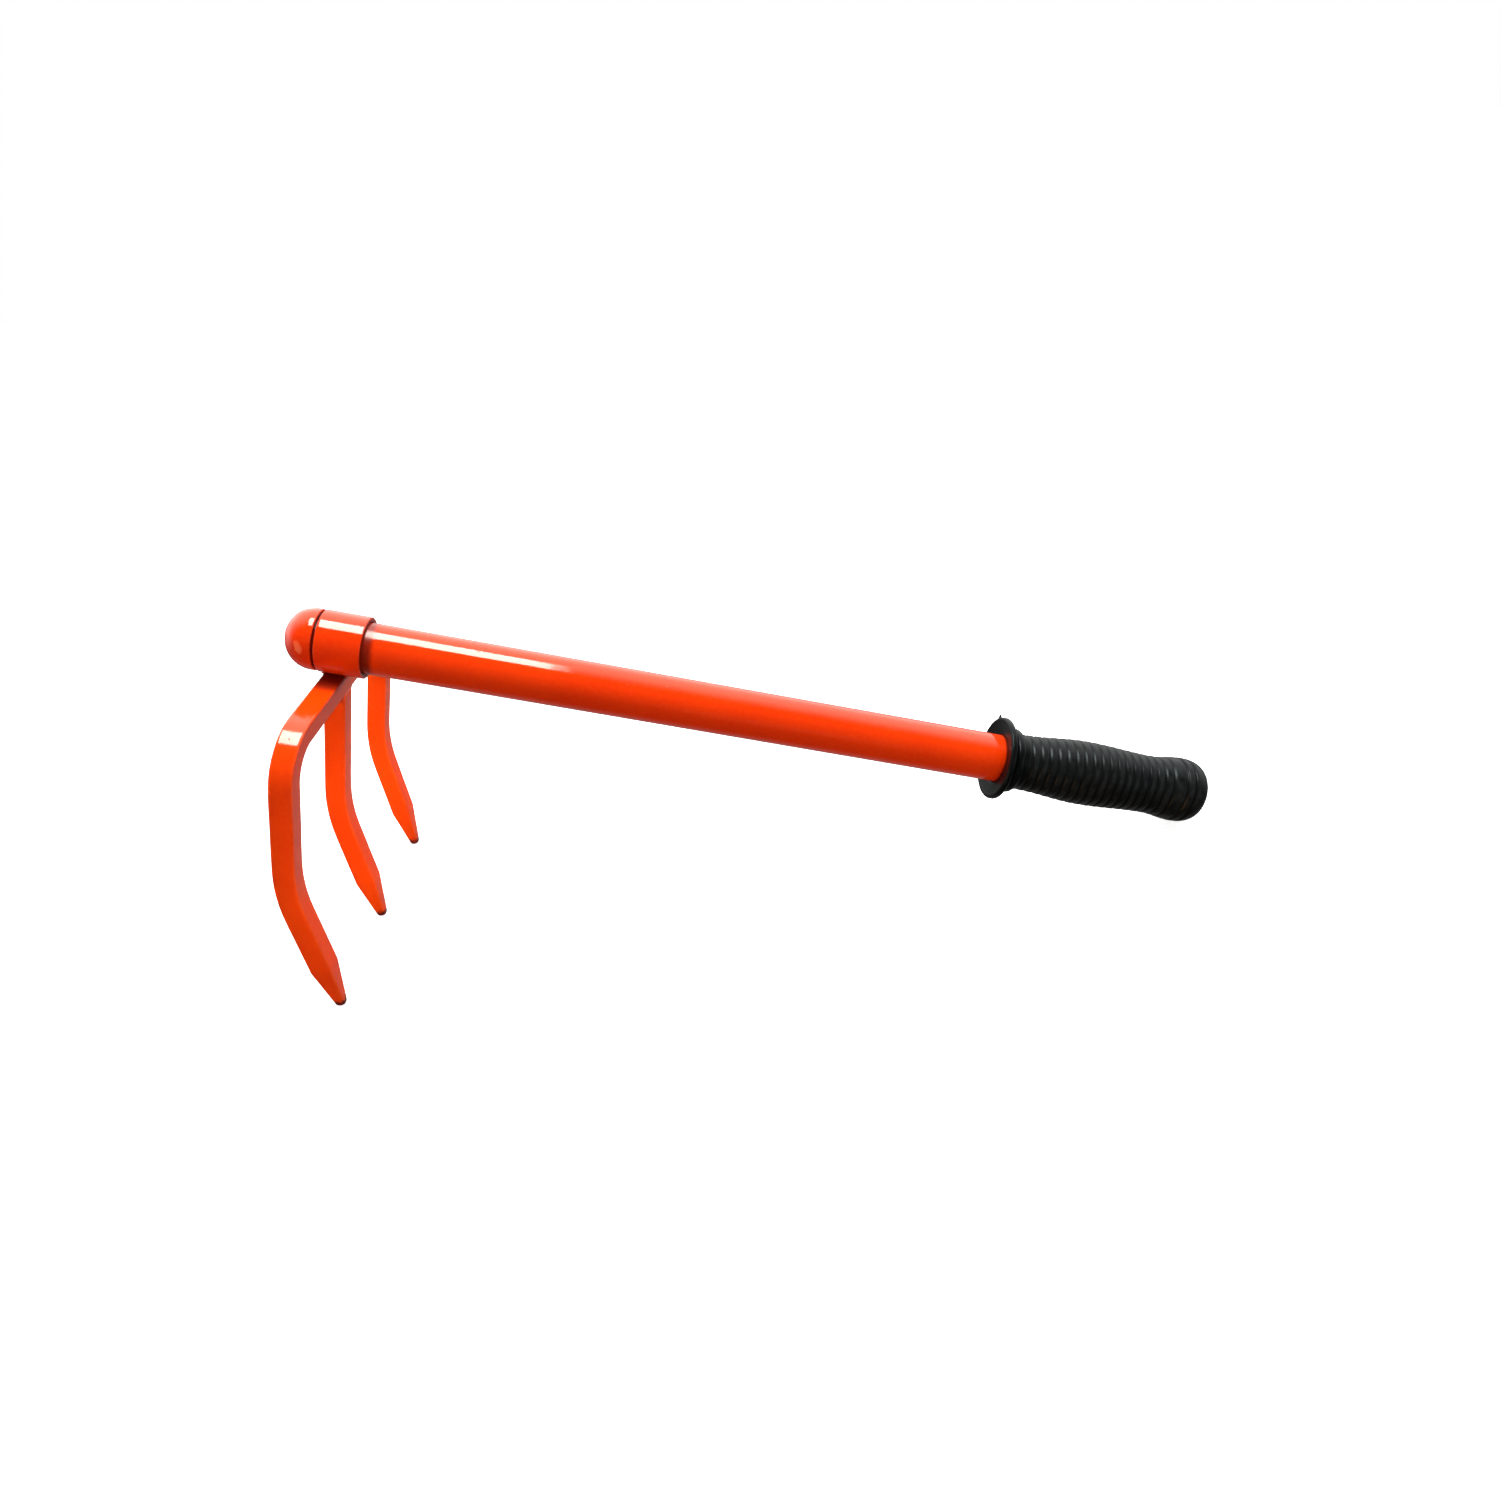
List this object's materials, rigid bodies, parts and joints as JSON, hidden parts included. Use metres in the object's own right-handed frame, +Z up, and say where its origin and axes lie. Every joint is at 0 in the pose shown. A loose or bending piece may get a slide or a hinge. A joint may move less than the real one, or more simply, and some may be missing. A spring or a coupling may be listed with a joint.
{
  "type": "hand cultivator",
  "caption": "Hand cultivator: tubular steel handle with a collar carrying bent square-bar tines and a ribbed moulded grip.",
  "frame": {"origin": "centre of the footprint box on the surface that the tool stands on, resting on its outer tine points and the grip's butt", "axes": "+X horizontal from the head towards the grip, +Y across the tines, +Z up; the handle slopes 19.6 degrees down towards +X"},
  "size_m": [0.414, 0.1302, 0.1623],
  "materials": {
    "paint_tube": "glossy orange powder coat on steel tube",
    "paint_head": "glossy orange powder coat, pooled in the joints",
    "paint_tines": "orange powder coat on forged square bar, worn at the points",
    "grip_black": "satin black moulded PVC"
  },
  "bodies": {
    "root": {"handle_tube": "paint_tube", "head_collar": "paint_head", "end_cap": "paint_head", "outer_tines": "paint_tines", "middle_tine": "paint_tines", "collar_weld": "paint_head", "tine_weld": "paint_head", "grip": "grip_black"}
  },
  "joints": []
}
